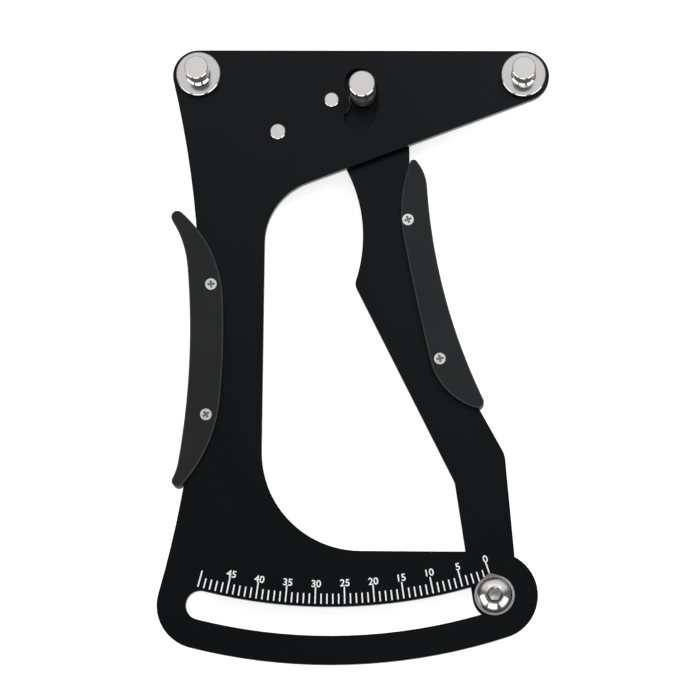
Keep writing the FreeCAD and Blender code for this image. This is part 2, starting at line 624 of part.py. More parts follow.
# ---------------------------------------------------------------- posts
flange_top = front + D["flange_thick"]
cone_top = flange_top + D["foot_cone_rise"]
neck_top = front + D["neck_top"]
cap_top = front + D["post_height"]
for label, (x, y) in zip(("left_post", "right_post"), post_places):
    turned(label, [
        (None, body_back - D["rivet_thick"]), (D["post_rivet_round"], body_back - D["rivet_thick"]),
        (D["post_rivet_round"], body_back), (D["post_tail_round"], body_back), (D["post_tail_round"], front),
        (D["flange_round"], front), (D["flange_round"], flange_top - D["flange_bevel"]),
        (D["flange_round"] - D["flange_bevel"], flange_top), (D["foot_cone_round"], flange_top),
        (D["neck_round"], cone_top), (D["neck_round"], neck_top), (D["cap_round"], neck_top + D["neck_flare"]),
        (D["cap_round"], cap_top - D["cap_bevel"]), (D["cap_round"] - D["cap_bevel"], cap_top), (None, cap_top),
    ], x, y)
middle_base = front + D["middle_base_top"]
low_groove, high_groove = [
    [(D["middle_round"], bottom), (D["middle_round"] - D["groove_depth"], bottom + D["groove_depth"]),
     (D["middle_round"], bottom + D["groove_depth"] * TWO)]
    for bottom in (lever_front + D["low_groove"], lever_front + D["high_groove"])]
turned("middle_post", [
    (None, lever_back - D["middle_tail_length"]), (D["middle_tail_round"], lever_back - D["middle_tail_length"]),
    (D["middle_tail_round"], lever_front), (D["middle_round"], lever_front), *low_groove,
    (D["middle_round"], middle_base - D["middle_base_bevel"]),
    (D["middle_round"] - D["middle_base_bevel"], middle_base), (D["middle_neck_round"], middle_base),
    (D["middle_neck_round"], neck_top), (D["middle_round"], neck_top + D["middle_flare"]), *high_groove,
    (D["middle_round"], cap_top - D["middle_bevel"]),
    (D["middle_round"] - D["middle_bevel"], cap_top), (None, cap_top),
], post_x, post_y)

# ---------------------------------------------------------------- pivot
pin_top = front + D["pin_head_rise"]
bore = D["pivot_pin_round"] + D["run_clear"]
turned("pivot_pin", [
    (None, None), (D["pivot_rivet_round"], None), (D["pivot_rivet_round"], spool_back),
    (D["pivot_pin_round"], spool_back), (D["pivot_pin_round"], pin_top - D["pin_bevel"]),
    (D["pivot_pin_round"] - D["pin_bevel"], pin_top), (None, pin_top),
])
pivot_washer_round = D["post_swing_radius"] - D["middle_round"] - D["washer_post_clear"]
turned("pivot_washer", ring(bore, pivot_washer_round, lever_front + D["run_clear"], body_back))
spool_front = lever_back - D["run_clear"]
flange_front = spool_back + D["spool_flange_thick"]
turned("spring_spool", [
    (bore, spool_back), (D["spool_flange_round"], spool_back), (D["spool_flange_round"], flange_front),
    (D["spool_round"], flange_front), (D["spool_round"], spool_front), (bore, spool_front),
])
anchor_back = D["anchor_lift"]
anchor_top = front + D["pin_head_rise"]
turned("spring_anchor", [
    (None, anchor_back), (D["anchor_round"], anchor_back), (D["anchor_round"], front),
    (D["anchor_head_round"], front), (D["anchor_head_round"], anchor_top - D["pin_bevel"]),
    (D["anchor_head_round"] - D["pin_bevel"], anchor_top), (None, anchor_top),
], D["anchor_x"], D["anchor_y"])


# ---------------------------------------------------------------- return spring
def leg_angle(pin, pin_round, wire, coil, before):
    """Where a leg leaves the coil, so that it passes just under a pin at this place."""
    reach = coil + pin_round + wire + float(D["leg_touch"])
    swing = math.acos(reach / pin.Length)
    return math.atan2(pin.y, pin.x) + (-swing if before else swing)


def spring_shape():
    """Left-hand coil about the pivot, with one leg under the anchor and one under the middle post's tail."""
    wire, coil = float(D["wire_round"]), float(D["coil_round"])
    anchor = vector(D["anchor_x"], D["anchor_y"])
    tail = vector(post_x, post_y)
    fixed = leg_angle(anchor, float(D["anchor_round"]), wire, coil, True)
    moving = leg_angle(tail, float(D["middle_tail_round"]), wire, coil, False)
    wound = (fixed - moving) % (2 * math.pi) + 2 * math.pi * float(D["coil_turns"])
    pitch = float(D["coil_pitch"])
    rise = wound / (2 * math.pi) * pitch
    top = float(lever_back) - float(D["spring_gap"]) - wire
    helix = Part.makeHelix(pitch, rise, coil, 0, True)
    helix.rotate(FreeCAD.Vector(0, 0, 0), FreeCAD.Vector(0, 0, 1), math.degrees(fixed))
    helix.translate(FreeCAD.Vector(0, 0, top - rise))
    curve = helix.Edges
    start, end = curve[0].valueAt(curve[0].FirstParameter), curve[-1].valueAt(curve[-1].LastParameter)
    into = curve[0].tangentAt(curve[0].FirstParameter)
    out = curve[-1].tangentAt(curve[-1].LastParameter)
    overhang = float(D["leg_overhang"])
    first_leg = abs(anchor.dot(into)) + overhang
    last_leg = abs(tail.dot(out)) + overhang
    path = Part.Wire([Part.makeLine(start - into * first_leg, start)] + curve
                     + [Part.makeLine(end, end + out * last_leg)])
    section = Part.Wire([Part.makeCircle(wire, start - into * first_leg, into)])
    return path.makePipeShell([section], True, True)


spring = doc.addObject("Part::Feature", "return_spring")
spring.Shape = spring_shape()
spring.setExpression("Placement.Base.x", D["pivot_x"].formula)
spring.setExpression("Placement.Base.y", D["pivot_y"].formula)
nodes.append(spring)


# ---------------------------------------------------------------- pointer and its screw
def pointer_outline(sketch):
    """A washer drawn out to a point by two lines tangent to its rim."""
    radius, reach, half = (float(D[name]) for name in ("pointer_washer_round", "pointer_tip", "pointer_tip_half"))
    side = math.degrees(math.acos((radius - half) / (reach - half)))
    tip, rim_left, rim_right = vector(0, reach - half), heading(90 + side), heading(90 - side)
    chain = [
        add_arc(sketch, vector(0, 0), rim_left * radius, rim_right * radius, False),
        add_line(sketch, rim_right * radius, tip + rim_right * half),
        add_arc(sketch, tip, tip + rim_right * half, tip + rim_left * half, False),
        add_line(sketch, tip + rim_left * half, rim_left * radius),
    ]
    join_tangent(sketch, chain)
    sketch.addConstraint(Sketcher.Constraint("Coincident", chain[0][0], CENTRE, *ORIGIN_POINT))
    constrain(sketch, "Radius", chain[0][0], size=D["pointer_washer_round"])
    constrain(sketch, "Radius", chain[2][0], size=D["pointer_tip_half"])
    place_point(sketch, chain[2][0], CENTRE, None, D["pointer_tip"] - D["pointer_tip_half"])


pointer = new_body("pointer", pointer_x, pointer_y)
pointer.setExpression("Placement.Rotation.Angle", "(%s) * 1 deg" % (D["pointer_angle"] - D["pointer_turn"]).formula)
outline = new_sketch(pointer, "Outline", z=pointer_back)
pointer_outline(outline)
pad(pointer, outline, D["pointer_thick"])
drill(pointer, pointer_front, [(None, None, D["screw_hole_round"])])

head_base = pointer_front + D["screw_head_rim"]
head_top = pointer_front + D["screw_head_rise"]
screw_end = nut_back - D["screw_past_nut"]


def dome_profile(sketch):
    """Button head over a plain shank: a short rim, a knuckle, a domed top, and a coned way into the socket."""
    rim, mouth, shank = D["screw_head_round"], D["socket_mouth_round"], D["screw_round"]
    dome_round, knuckle_round = D["dome_round"], D["knuckle_round"]
    lead_end = D["socket_width"] / TWO
    lead_low = head_top - D["socket_lead"]
    dome_centre = vector(0, float(head_top) - math.sqrt(float(dome_round) ** 2 - float(mouth) ** 2))
    knuckle_centre = on_circles(dome_centre, float(dome_round - knuckle_round), vector(rim, head_base),
                                float(knuckle_round), 1)
    shoulder = towards(dome_centre, knuckle_centre, dome_round)
    points = [(None, screw_end), (shank, screw_end), (shank, pointer_front), (rim, pointer_front), (rim, head_base),
              (shoulder.x, shoulder.y), (mouth, head_top), (lead_end, lead_low), (None, lead_low)]
    corners = [vector(0 if x is None else x, height) for x, height in points]
    knuckle, dome = 4, 5
    centres = {knuckle: knuckle_centre, dome: dome_centre}
    for number, (start, end) in enumerate(zip(corners, corners[1:] + corners[:1])):
        if number in centres:
            add_arc(sketch, centres[number], start, end, False)
        else:
            add_line(sketch, start, end)
    for number, point in enumerate(points):
        following = (number + 1) % len(points)
        joint = "Tangent" if number == knuckle else "Coincident"
        sketch.addConstraint(Sketcher.Constraint(joint, number, END, following, START))
        if number != dome:
            place_point(sketch, number, START, *point)
    constrain(sketch, "Radius", knuckle, size=knuckle_round)
    constrain(sketch, "Radius", dome, size=dome_round)
    sketch.addConstraint(Sketcher.Constraint("PointOnObject", dome, CENTRE, Y_AXIS))


screw = new_body("pointer_screw", pointer_x, pointer_y)
half_profile = new_sketch(screw, "Profile", plane="XZ_Plane")
dome_profile(half_profile)
revolve(screw, half_profile)
socket = new_sketch(screw, "Socket", z=head_top)
hexagon(socket, D["socket_width"])
pocket(screw, socket, D["socket_depth"])
socket_floor = head_top - D["socket_depth"]
cut_cone(screw, Size.of(0), D["socket_width"] / TWO, socket_floor - D["drill_point"], D["drill_point"])

turned("guide_sleeve", ring(D["screw_hole_round"], D["sleeve_round"], lever_front, pointer_back),
       pointer_x, pointer_y)
turned("slide_washer", ring(D["sleeve_round"], D["slide_washer_round"], lever_front, body_back - D["run_clear"]),
       pointer_x, pointer_y)
turned("nut_washer", ring(D["screw_hole_round"], D["nut_washer_round"], nut_front, lever_back),
       pointer_x, pointer_y)


def hexagon_nut(label, x, y, width, hole, low, thick, node):
    """Plain hexagon nut with its lower face at height low."""
    nut = new_body(label, x, y, node)
    outline = new_sketch(nut, "Outline", z=low)
    hexagon(outline, width)
    pad(nut, outline, thick)
    drill(nut, low + thick, [(None, None, hole)])
    return nut


hexagon_nut("pointer_nut", pointer_x, pointer_y, D["nut_width"], D["screw_hole_round"], nut_back, D["nut_thick"],
            True)


# ---------------------------------------------------------------- grips
def lip_cut(sketch, centre_x, centre_y, radius, names, right_of):
    """The room for the plate beside a rear cover's lip: an arc beside the plate's edge, closed by a box."""
    high, low, far = (D[name] for name in names)
    side = 1 if right_of else -1
    centre = vector(centre_x, centre_y)

    def on_arc(y):
        return vector(centre.x + side * math.sqrt(float(radius) ** 2 - (float(y) - centre.y) ** 2), y)

    ends = [on_arc(low), on_arc(high)]
    arc = add_arc(sketch, centre, ends[0], ends[1], not right_of)
    corners = [ends[1], vector(far, high), vector(far, low), ends[0]]
    lines = [add_line(sketch, start, end)[0] for start, end in zip(corners, corners[1:])]
    sketch.addConstraint(Sketcher.Constraint("Coincident", arc[0], arc[2], lines[0], START))
    sketch.addConstraint(Sketcher.Constraint("Coincident", lines[0], END, lines[1], START))
    sketch.addConstraint(Sketcher.Constraint("Coincident", lines[1], END, lines[2], START))
    sketch.addConstraint(Sketcher.Constraint("Coincident", lines[2], END, arc[0], arc[1]))
    place_point(sketch, arc[0], CENTRE, centre_x, centre_y)
    constrain(sketch, "Radius", arc[0], size=radius)
    place_point(sketch, lines[1], START, far, high)
    place_point(sketch, lines[1], END, far, low)
    constrain(sketch, "DistanceY", *ORIGIN_POINT, lines[0], START, size=high)
    constrain(sketch, "DistanceY", *ORIGIN_POINT, lines[2], END, size=low)


def grip_screw(label, place, top, low, cross_angle):
    """Countersunk cross-head screw, turned as it was left when tightened."""
    head, shank = D["grip_head_round"], D["grip_screw_round"]
    body = turned(label, [(None, low), (shank, low), (shank, top - D["grip_head_depth"]), (head, top), (None, top)],
                  *place, node=False)
    body.setExpression("Placement.Rotation.Angle", "%s * 1 deg" % cross_angle.formula)
    cross = new_sketch(body, "Cross", z=top)
    half, arm = D["cross_width"] / TWO, D["cross_length"] / TWO
    add_polygon(cross, [(arm, -half), (arm, half), (half, half), (half, arm), (-half, arm), (-half, half),
                        (-arm, half), (-arm, -half), (-half, -half), (-half, -arm), (half, -arm), (half, -half)])
    pocket(body, cross, D["cross_depth"])
    return body


def grip(side, plate_front, plate_back, edge_arc):
    """Front cover, rear cover with its lip round the plate's edge, and the two screws and nuts."""
    places = screw_places[side]
    cover_top, cover_back = plate_front + D["grip_thick"], plate_back - D["grip_thick"]
    front_cover = plate("%s_grip_front" % side, crescent_outline(side), plate_front, D["grip_thick"])
    bevel(front_cover, cover_top, D["grip_bevel"])
    drill(front_cover, cover_top, [(x, y, D["grip_hole_round"]) for x, y in places])
    for x, y in places:
        cut_cone(front_cover, D["grip_hole_round"], D["grip_head_round"] + D["grip_fit_clear"],
                 cover_top - D["grip_head_depth"], D["grip_head_depth"], x, y)
    rear_cover = plate("%s_grip_rear" % side, crescent_outline(side), cover_back, D["grip_thick"] + D["plate_thick"])
    bevel(rear_cover, cover_back, D["grip_bevel"])
    room = new_sketch(rear_cover, "PlateRoom", z=plate_front)
    lip_cut(room, *edge_arc, ["%s_lip_%s" % (side, end) for end in ("high", "low", "far")], side == "left")
    pocket(rear_cover, room, D["plate_thick"])
    drill(rear_cover, plate_back, [(x, y, D["grip_hole_round"]) for x, y in places])
    nut_low = cover_back + D["grip_fit_clear"]
    nut_rooms = new_sketch(rear_cover, "NutRooms", z=nut_low + D["grip_nut_thick"] + D["grip_fit_clear"])
    for x, y in places:
        hexagon(nut_rooms, D["grip_nut_width"] + D["grip_fit_clear"] * 2, x, y)
    pocket(rear_cover, nut_rooms)
    screws = [grip_screw("%s_grip_screw_%s" % (side, end), place, cover_top, nut_low,
                         D["%s_cross_%s_angle" % (side, end)]) for end, place in zip(("top", "low"), places)]
    group("%s_grip_screws" % side, screws)
    nuts = [hexagon_nut("%s_grip_nut_%s" % (side, end), *place, D["grip_nut_width"],
                        D["grip_screw_round"] + D["grip_fit_clear"], nut_low, D["grip_nut_thick"], False)
            for end, place in zip(("top", "low"), places)]
    group("%s_grip_nuts" % side, nuts)


grip("left", front, body_back, (side_x, D["side_y"], D["side_round"] - D["lip_clear"]))
grip("right", lever_front, lever_back, (D["lever_edge_x"] + D["lever_back_round"], D["lever_back_y"],
                                        D["lever_back_round"] - D["lip_clear"]))


# ---------------------------------------------------------------- check and write
doc.recompute()
failed = [item.Name for item in doc.Objects if {"Invalid", "Error"} & set(item.State)]
if failed:
    raise ValueError("failed objects: %s" % ", ".join(failed))
os.makedirs("parts", exist_ok=True)
for node in nodes:
    if node.Shape.isNull() or not node.Shape.isValid() or node.Shape.Volume <= 0:
        raise ValueError("%s has no sound shape" % node.Label)
    node.Shape.exportStep("parts/%s.step" % node.Label)
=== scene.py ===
"""Looks of the spoke tension meter: finishes, printed scale, floor, light and camera."""

import json
import math

import bpy
from mathutils import Matrix, Vector


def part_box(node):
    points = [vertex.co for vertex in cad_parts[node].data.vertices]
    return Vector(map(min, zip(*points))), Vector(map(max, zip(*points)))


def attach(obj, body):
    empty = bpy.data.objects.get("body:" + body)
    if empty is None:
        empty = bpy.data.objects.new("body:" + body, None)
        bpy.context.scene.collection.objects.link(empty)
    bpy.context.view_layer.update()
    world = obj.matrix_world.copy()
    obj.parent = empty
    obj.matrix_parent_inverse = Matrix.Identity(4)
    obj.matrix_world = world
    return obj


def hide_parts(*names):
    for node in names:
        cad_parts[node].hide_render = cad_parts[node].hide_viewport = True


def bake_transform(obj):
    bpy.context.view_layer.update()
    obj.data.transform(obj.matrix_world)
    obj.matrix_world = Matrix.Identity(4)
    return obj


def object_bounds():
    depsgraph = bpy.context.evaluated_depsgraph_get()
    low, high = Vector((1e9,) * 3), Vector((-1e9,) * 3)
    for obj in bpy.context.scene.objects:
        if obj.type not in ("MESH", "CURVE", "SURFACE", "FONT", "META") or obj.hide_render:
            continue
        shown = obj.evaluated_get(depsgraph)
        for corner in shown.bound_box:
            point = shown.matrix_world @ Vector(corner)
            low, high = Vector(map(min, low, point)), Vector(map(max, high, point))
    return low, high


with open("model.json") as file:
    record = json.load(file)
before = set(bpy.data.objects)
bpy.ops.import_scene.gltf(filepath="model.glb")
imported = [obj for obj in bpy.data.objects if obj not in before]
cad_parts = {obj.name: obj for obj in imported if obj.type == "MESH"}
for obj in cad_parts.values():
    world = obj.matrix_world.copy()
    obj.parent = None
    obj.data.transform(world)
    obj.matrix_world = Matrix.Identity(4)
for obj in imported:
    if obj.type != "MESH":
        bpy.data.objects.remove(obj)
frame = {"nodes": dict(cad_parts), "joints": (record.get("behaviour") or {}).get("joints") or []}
cad_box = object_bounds()
nodes = frame["nodes"]

MM = 0.001
PIVOT = Vector(frame["joints"][0]["pos_m"])
WHITE = (1.0, 1.0, 1.0)

# printed scale, about the pivot: angles run from -Y towards +X
ZERO_ANGLE = math.radians(18.61)
TICK_STEP = math.radians(0.6604)
TICK_COUNT = 51
LONG_EVERY = 5
LAST_NUMBER = 45
TICK_OUTER = 178.1 * MM
TICK_SHORT = 174.6 * MM
TICK_LONG = 172.35 * MM
TICK_WIDTH = 0.47 * MM
NUMBER_RADII_MM = (171.2, 171.05, 170.75, 170.85, 170.95, 170.9, 171.2, 171.2, 171.3, 171.15)
NUMBER_HEIGHT = 2.48 * MM
NUMBER_ALONG = 0.22 * MM
DIGIT_WIDER = 1.03
DIGIT_BOLDER = 0.014
DIGIT_STEPS = 6
INK_THICK = 0.02 * MM

# finishes: tones and roughness go from the first to the second value over this span of a noise
NOISE_SPAN = (0.3, 0.7)
SHALLOW = 0.004 * MM

BLACK_TONES = ((0.0012, 0.0015, 0.0023), (0.0020, 0.0024, 0.0034))
BLACK_ROUGHNESS = (0.26, 0.34)
BLACK_GRAIN = 0.28 * MM
BLACK_CLOUD = 38 * MM
BLACK_DEPTH = 0.006 * MM
BLACK_SPECULAR = 0.20
BLACK_SPECULAR_TINT = (0.86, 0.94, 1.0, 1.0)
LEVER_SHIFT = 0.37

PLASTIC_TONES = ((0.0110, 0.0110, 0.0118), (0.0143, 0.0143, 0.0151))
# painted highlight on the bevels of the grips, where their edges catch light
PLASTIC_BEVEL_HIGHLIGHT = (0.050, 0.052, 0.050)
PLASTIC_ROUGHNESS = (0.50, 0.64)
PLASTIC_GRAIN = 0.45 * MM
PLASTIC_CLOUD = 14 * MM
PLASTIC_DEPTH = 0.02 * MM
PLASTIC_SPECULAR = 0.22
BEVEL_SLOPE, BEVEL_SPREAD = 0.71, 0.2

STEEL_TONES = ((0.77, 0.76, 0.745), (0.80, 0.79, 0.775))
STEEL_ROUGHNESS = (0.10, 0.16)
SMEAR_SIZE = 2.4 * MM
SMEAR_DEPTH = 0.0006 * MM
RING_PITCH = 0.16 * MM
RING_WANDER, RING_WANDER_SCALE = 0.6, 3.0
RING_DEPTH = 0.0004 * MM
HAZE_ROUGHNESS = 0.36
HAZE_LOSS = 0.5

# socket of the button screw: shares of its radius, from the edge inwards, and their tones, which
# are painted shade
SOCKET_ROUND = 2.56 * MM
SOCKET_SHADE_TONES = ((1.0, (0.13, 0.125, 0.115)), (0.90, (0.70, 0.69, 0.67)), (0.77, (0.52, 0.51, 0.49)))
# the head's rim outside this radius gets a painted dark reflection of the washer and plate
HEAD_RIM = 5.0 * MM
RIM_DARK_REFLECTION = (0.42, 0.41, 0.34)

# feet of the posts, each the height up to which it goes and its tone
POST_FOOT = (17.6 * MM, (0.71, 0.70, 0.685))
# the middle post's foot: a dark tone that is painted shade of the kidney slot, on hazier steel
MIDDLE_SHADED_FOOT = (26.45 * MM, (0.18, 0.175, 0.165))

PATCH_SIZE = 3.0 * MM
PATCH_DARKER = 0.88
PATCH_ROUGHER = 0.12
ZINC_TINT = (0.66, 0.66, 0.67)
ZINC_ROUGHNESS = 0.24
ZINC_GRAIN = 0.2 * MM
SCREW_TINT = (0.88, 0.88, 0.87)
SCREW_METALLIC = 0.75
# painted shade in the crosses of the grip screws, from this depth below the head's top
CROSS_CLEAR = 0.12 * MM
CROSS_SHADE = (0.27, 0.27, 0.26)
SPRING_TINT = (0.30, 0.30, 0.31)
SPRING_ROUGHNESS = 0.28
SPRING_GRAIN = 0.3 * MM

POINTER_TONES = ((0.52, 0.51, 0.58), (0.60, 0.59, 0.66))
# painted olive shade of the screw head on the pointer, growing over these distances towards the tip
POINTER_HEAD_SHADE = (0.30, 0.295, 0.225)
POINTER_FADE = (3.6 * MM, 6.8 * MM)
POINTER_WAY = (-0.231, 0.973, 0.0)
POINTER_ROUGHNESS = (0.26, 0.36)
POINTER_GRAIN = 0.25 * MM
POINTER_METALLIC = 0.65

ACETAL_TONES = ((0.70, 0.69, 0.64), (0.77, 0.76, 0.72))
ACETAL_ROUGHNESS = (0.35, 0.45)
ACETAL_GRAIN = 0.5 * MM
ACETAL_SCATTER = 0.1
ACETAL_SCATTER_SIZE = 1.0 * MM

INK_TONES = ((0.88, 0.88, 0.87), (0.96, 0.96, 0.95))
INK_ROUGHNESS = (0.5, 0.65)
INK_MOTTLE = 0.3 * MM

# camera: aimed at a point of the front face, from a little below and to the right of it
IMAGE_SIZE = 700
FOCAL_PIXELS = 3237.8
SENSOR = 36.0
AIM = Vector((-1.70, 1.14, 15.0)) * MM
CAMERA_BELOW = math.radians(9.02)
CAMERA_RIGHT = math.radians(1.92)
CAMERA_ROLL = math.radians(0.6)
CAMERA_DISTANCE = 1130.0 * MM
CLIP_START, CLIP_END = 0.01, 20.0

# floor: its near tone goes over into its far tone between two distances from the origin
FLOOR_SIZE = 6.0
FLOOR_NEAR = (0.86, 0.86, 0.86)
FLOOR_FAR = (0.30, 0.30, 0.30)
FLOOR_FADE = (0.10, 0.15)
FLOOR_LIFT = 0.70
FLOOR_ROUGHNESS = 0.9

# studio: the sky's two strengths, and lights by place, size and radiance
SKY_STRENGTHS = (0.14, 0.74)
SKY_FADE = (0.30, 0.66)
SKY_TOWARDS = Vector((0.0, 0.95, 0.30)).normalized()
BOX_DISTANCE = 0.95
BOX_ELEVATION = math.radians(21.0)
BOX_HEIGHT = 0.54
BOX_AZIMUTHS_WIDTHS = ((-61.0, 0.84), (-6.0, 0.66), (53.0, 0.74))
BOX_RADIANCE = 1.7
TOP_PLACE = Vector((0.05, 0.405, 0.58))
TOP_WIDTH, TOP_HEIGHT = 1.1, 0.70
TOP_RADIANCE = 0.26
KEY_PLACE = Vector((0.28, 0.265, 0.515))
KEY_SIZE = 0.16
KEY_RADIANCE = 8.5
KEY_COLOR = (0.86, 0.93, 1.0)
FILL_PLACE = Vector((0.0, 0.1, 0.9))
FILL_SIZE = 0.8
FILL_RADIANCE = 1.1


def middle(node):
    """Centre of a node's box."""
    low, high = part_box(node)
    return (low + high) / 2


# ---------------------------------------------------------------- shader nodes
def new_material(name):
    """A material with its node tree and its surface shader."""
    material = bpy.data.materials.new(name)
    material.use_nodes = True
    tree = material.node_tree
    return material, tree, tree.nodes["Principled BSDF"]


def combine(tree, operation, *values):
    """Values, each a socket or a number, through a Math node."""
    node = tree.nodes.new("ShaderNodeMath")
    node.operation = operation
    for place, value in enumerate(values):
        if isinstance(value, (int, float)):
            node.inputs[place].default_value = value
        else:
            tree.links.new(value, node.inputs[place])
    return node.outputs[0]


def combine_vectors(tree, operation, vector, constant=None):
    """A vector and, where one is given, a constant vector through a Vector Math node."""
    node = tree.nodes.new("ShaderNodeVectorMath")
    node.operation = operation
    if constant is not None:
        node.inputs[1].default_value = constant
    tree.links.new(vector, node.inputs[0])
    return node.outputs["Value" if operation in ("LENGTH", "DOT_PRODUCT") else "Vector"]


def coordinates(tree, centre=(0, 0, 0)):
    """Coordinates in metres about a centre, fixed to the piece."""
    source = tree.nodes.new("ShaderNodeTexCoord")
    return combine_vectors(tree, "SUBTRACT", source.outputs["Object"], centre)


def height_of(tree, vector):
    """The Z part of a vector."""
    parts = tree.nodes.new("ShaderNodeSeparateXYZ")
    tree.links.new(vector, parts.inputs[0])
    return parts.outputs["Z"]


def noise(tree, where, size, detail=2.0, roughness=0.5):
    """Noise whose grains measure about size metres."""
    node = tree.nodes.new("ShaderNodeTexNoise")
    node.inputs["Scale"].default_value = 1.0 / size
    node.inputs["Detail"].default_value = detail
    node.inputs["Roughness"].default_value = roughness
    tree.links.new(where, node.inputs["Vector"])
    return node.outputs["Fac"]


def lathe_rings(tree, where):
    """Fine rings about the upright axis, as a turning tool leaves them."""
    node = tree.nodes.new("ShaderNodeTexWave")
    node.wave_type = "RINGS"
    node.rings_direction = "Z"
    node.inputs["Scale"].default_value = 1.0 / (RING_PITCH * 2 * math.pi)
    node.inputs["Distortion"].default_value = RING_WANDER
    node.inputs["Detail Scale"].default_value = RING_WANDER_SCALE
    tree.links.new(where, node.inputs["Vector"])
    return node.outputs["Fac"]


def rescale(tree, value, source, target=(0.0, 1.0), interpolation="LINEAR"):
    """A value mapped from one range to another and kept within it."""
    node = tree.nodes.new("ShaderNodeMapRange")
    node.interpolation_type = interpolation
    for name, limit in zip(("From Min", "From Max", "To Min", "To Max"), (*source, *target)):
        node.inputs[name].default_value = limit
    tree.links.new(value, node.inputs["Value"])
    return node.outputs["Result"]


def color_between(tree, factor, dark, light):
    """Tones from dark to light over the span in which noise mostly lies."""
    node = tree.nodes.new("ShaderNodeValToRGB")
    for element, position, tone in zip(node.color_ramp.elements, NOISE_SPAN, (dark, light)):
        element.position = position
        element.color = (*tone, 1.0)
    tree.links.new(factor, node.inputs["Fac"])
    return node.outputs["Color"]


def cover(tree, base, mask, tone):
    """A tone laid over a base, itself a tone or a colour socket, as far as a mask is 1."""
    node = tree.nodes.new("ShaderNodeMix")
    node.data_type = "RGBA"
    node.inputs["B"].default_value = (*tone, 1.0)
    if isinstance(base, tuple):
        node.inputs["A"].default_value = (*base, 1.0)
    else:
        tree.links.new(base, node.inputs["A"])
    tree.links.new(mask, node.inputs["Factor"])
    return node.outputs["Result"]


def inside(tree, where, radius):
    """1 within a radius of the upright axis, else 0."""
    flat = combine_vectors(tree, "MULTIPLY", where, (1, 1, 0))
    return combine(tree, "LESS_THAN", combine_vectors(tree, "LENGTH", flat), radius)


def under(tree, where, height):
    """1 below a height, else 0."""
    return combine(tree, "LESS_THAN", height_of(tree, where), height)


def sloping(tree):
    """1 on faces that slope at about 45 degrees, which are the bevels, else 0."""
    source = tree.nodes.new("ShaderNodeTexCoord")
    slope = combine(tree, "ABSOLUTE", height_of(tree, source.outputs["Normal"]))
    return combine(tree, "COMPARE", slope, BEVEL_SLOPE, BEVEL_SPREAD)


def surface(tree, shader, color, roughness, layers):
    """Link colour and roughness, and stack height maps, each (factor, depth), into the normal."""
    tree.links.new(color, shader.inputs["Base Color"])
    tree.links.new(roughness, shader.inputs["Roughness"])
    below = None
    for factor, depth in layers:
        node = tree.nodes.new("ShaderNodeBump")
        node.inputs["Strength"].default_value = 1.0
        node.inputs["Distance"].default_value = depth
        tree.links.new(factor, node.inputs["Height"])
        if below:
            tree.links.new(below, node.inputs["Normal"])
        below = node.outputs["Normal"]
    tree.links.new(below, shader.inputs["Normal"])


# ---------------------------------------------------------------- finishes
def black_anodised(name, shift=0.0):
    """Bead-blasted aluminium, anodised black: a fine grain, and a faint cloudiness of the dye.

    The shift keeps two pieces from having the same clouds.
    """
    material, tree, shader = new_material(name)
    where = coordinates(tree, (shift, 0, 0))
    grain = noise(tree, where, BLACK_GRAIN, detail=3.0)
    cloud = noise(tree, where, BLACK_CLOUD, detail=1.0)
    shader.inputs["Specular IOR Level"].default_value = BLACK_SPECULAR
    shader.inputs["Specular Tint"].default_value = BLACK_SPECULAR_TINT
    surface(tree, shader, color_between(tree, cloud, *BLACK_TONES),
            rescale(tree, grain, NOISE_SPAN, BLACK_ROUGHNESS), [(grain, BLACK_DEPTH)])
    return material


def grip_plastic(name):
    """Moulded plastic with a fine spark-eroded texture, and a painted highlight on its bevels."""
    material, tree, shader = new_material(name)
    where = coordinates(tree)
    grain = noise(tree, where, PLASTIC_GRAIN, detail=4.0, roughness=0.6)
    cloud = noise(tree, where, PLASTIC_CLOUD)
    # the bevels get a painted highlight
    color = cover(tree, color_between(tree, cloud, *PLASTIC_TONES), sloping(tree), PLASTIC_BEVEL_HIGHLIGHT)
    shader.inputs["Specular IOR Level"].default_value = PLASTIC_SPECULAR
    surface(tree, shader, color, rescale(tree, grain, NOISE_SPAN, PLASTIC_ROUGHNESS),
            [(grain, PLASTIC_DEPTH)])
    return material


def turned_steel(name, centre, recess=0.0, rim=0.0, foot=None, hazy_foot=False):
    """Polished steel with the marks of the lathe about its own axis.

    It may have painted shade and hazier steel in a recess of its end, a painted dark reflection
    on the rim outside a radius, and a foot of another colour, given as (height, colour), which is
    polished or hazy; on the middle post that colour is painted shade.
    """
    material, tree, shader = new_material(name)
    where = coordinates(tree, centre)
    rings = lathe_rings(tree, where)
    smear = noise(tree, where, SMEAR_SIZE)
    color = color_between(tree, smear, *STEEL_TONES)
    rough = rescale(tree, smear, NOISE_SPAN, STEEL_ROUGHNESS)
    shade_and_haze = None
    if recess:
        # painted shade in the socket, darkest at its edge
        for share, tone in SOCKET_SHADE_TONES:
            shade_and_haze = inside(tree, where, recess * share)
            color = cover(tree, color, shade_and_haze, tone)
        rough = combine(tree, "MAXIMUM", rough, combine(tree, "MULTIPLY", shade_and_haze, HAZE_ROUGHNESS))
    if rim:
        # painted dark reflection on the rim
        outside = combine(tree, "SUBTRACT", 1.0, inside(tree, where, rim))
        color = cover(tree, color, outside, RIM_DARK_REFLECTION)
    if foot:
        # the foot's colour, which on the middle post is painted shade
        low = under(tree, where, foot[0] - centre[2])
        color = cover(tree, color, low, foot[1])
        shade_and_haze = low if hazy_foot else shade_and_haze
    shader.inputs["Metallic"].default_value = 1.0
    if shade_and_haze:
        loss = combine(tree, "MULTIPLY", shade_and_haze, HAZE_LOSS)
        tree.links.new(combine(tree, "SUBTRACT", 1.0, loss), shader.inputs["Metallic"])
    surface(tree, shader, color, rough, [(rings, RING_DEPTH), (smear, SMEAR_DEPTH)])
    return material


